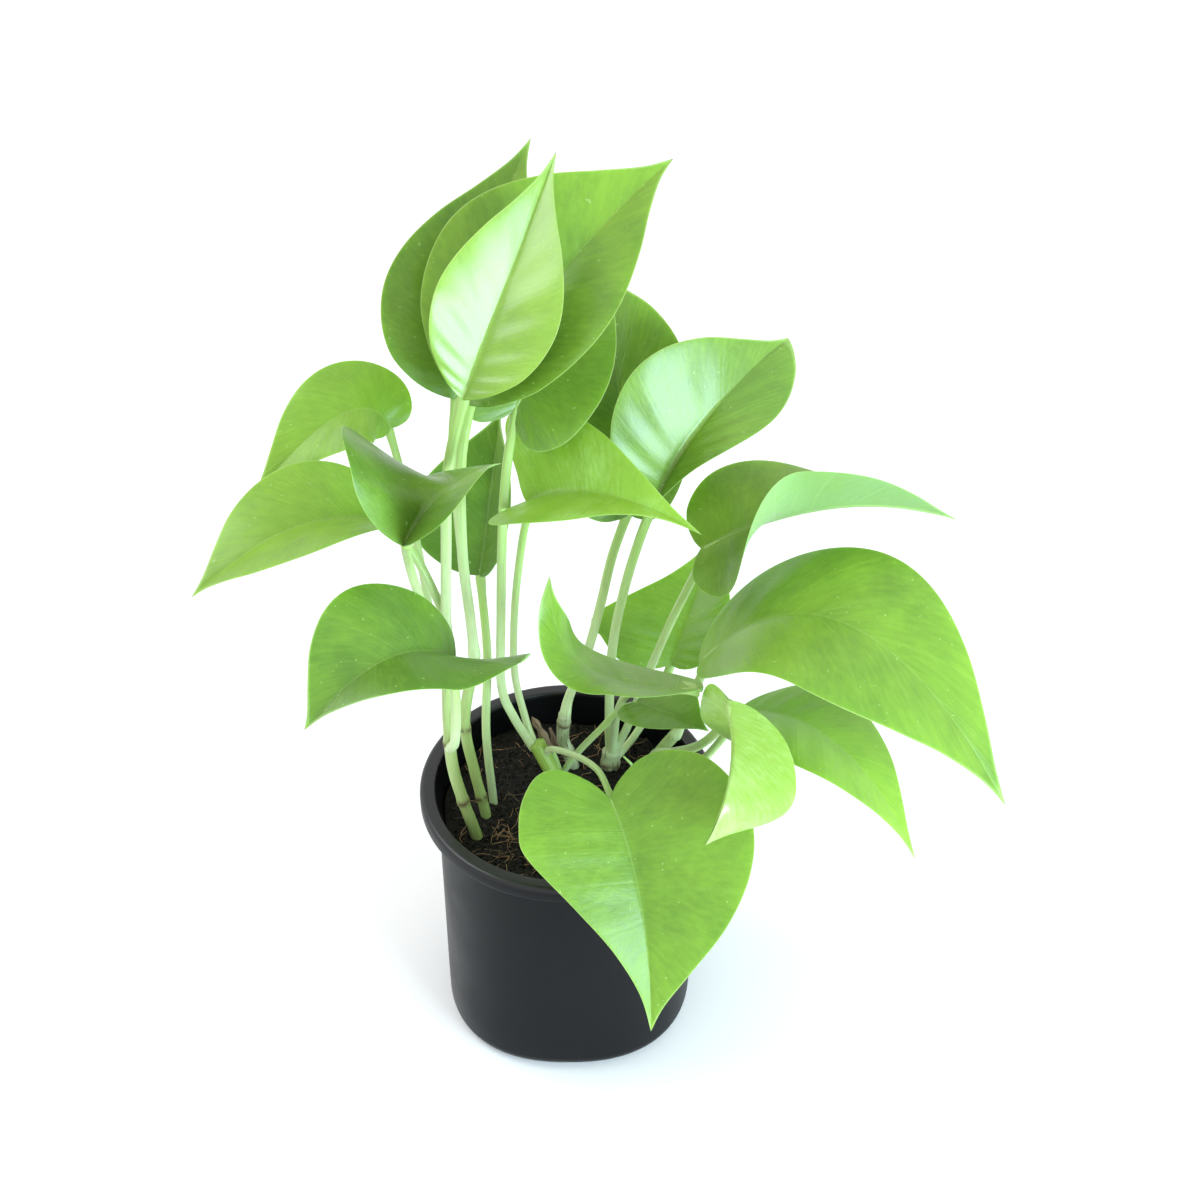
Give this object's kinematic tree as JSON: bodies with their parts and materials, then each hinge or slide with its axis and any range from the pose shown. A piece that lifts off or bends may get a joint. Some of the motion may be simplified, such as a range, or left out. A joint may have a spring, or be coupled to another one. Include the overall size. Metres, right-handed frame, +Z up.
{
  "type": "potted pothos plant",
  "caption": "Potted trailing-type houseplant: glossy heart-shaped green leaves on upright stalks and short canes, rooted in soil in a round lipped nursery pot.",
  "frame": {"origin": "centre of the pot's flat underside, on the surface that the plant stands on", "axes": "+Z up along the pot's axis, +X to the right and +Y away from somebody who looks at the front of the plant"},
  "size_m": [0.31, 0.223, 0.386],
  "materials": {
    "pot": "satin",
    "soil": "matte",
    "leaf_blade": "satin",
    "leaf_stalk": "satin",
    "cane": "satin",
    "dry_sheath": "matte"
  },
  "bodies": {
    "root": {"blade_back_centre": "leaf_blade", "blade_back_left": "leaf_blade", "blade_centre_low": "leaf_blade", "blade_centre_upper": "leaf_blade", "blade_front_heart": "leaf_blade", "blade_left_far": "leaf_blade", "blade_left_inner": "leaf_blade", "blade_left_low": "leaf_blade", "blade_left_upper": "leaf_blade", "blade_right_arching": "leaf_blade", "blade_right_large": "leaf_blade", "blade_right_low": "leaf_blade", "blade_small_inner": "leaf_blade", "blade_top_back_left": "leaf_blade", "blade_top_back_right": "leaf_blade", "blade_top_front": "leaf_blade", "blade_upper_back": "leaf_blade", "blade_upper_middle": "leaf_blade", "blade_upper_right": "leaf_blade", "blade_young": "leaf_blade", "cane_back": "cane", "cane_back_left": "cane", "cane_left_back": "cane", "cane_left_front": "cane", "cane_middle": "cane", "cane_right": "cane", "dry_sheath": "dry_sheath", "dry_stub": "dry_sheath", "pot": "pot", "side_shoot": "leaf_stalk", "soil": "soil", "stalk_back_centre": "leaf_stalk", "stalk_back_left": "leaf_stalk", "stalk_centre_low": "leaf_stalk", "stalk_centre_upper": "leaf_stalk", "stalk_front_heart": "leaf_stalk", "stalk_left_far": "leaf_stalk", "stalk_left_inner": "leaf_stalk", "stalk_left_low": "leaf_stalk", "stalk_left_upper": "leaf_stalk", "stalk_right_arching": "leaf_stalk", "stalk_right_large": "leaf_stalk", "stalk_right_low": "leaf_stalk", "stalk_small_inner": "leaf_stalk", "stalk_top_back_left": "leaf_stalk", "stalk_top_back_right": "leaf_stalk", "stalk_top_front": "leaf_stalk", "stalk_upper_back": "leaf_stalk", "stalk_upper_middle": "leaf_stalk", "stalk_upper_right": "leaf_stalk", "stalk_young": "leaf_stalk", "tendril": "leaf_stalk"}
  },
  "joints": []
}
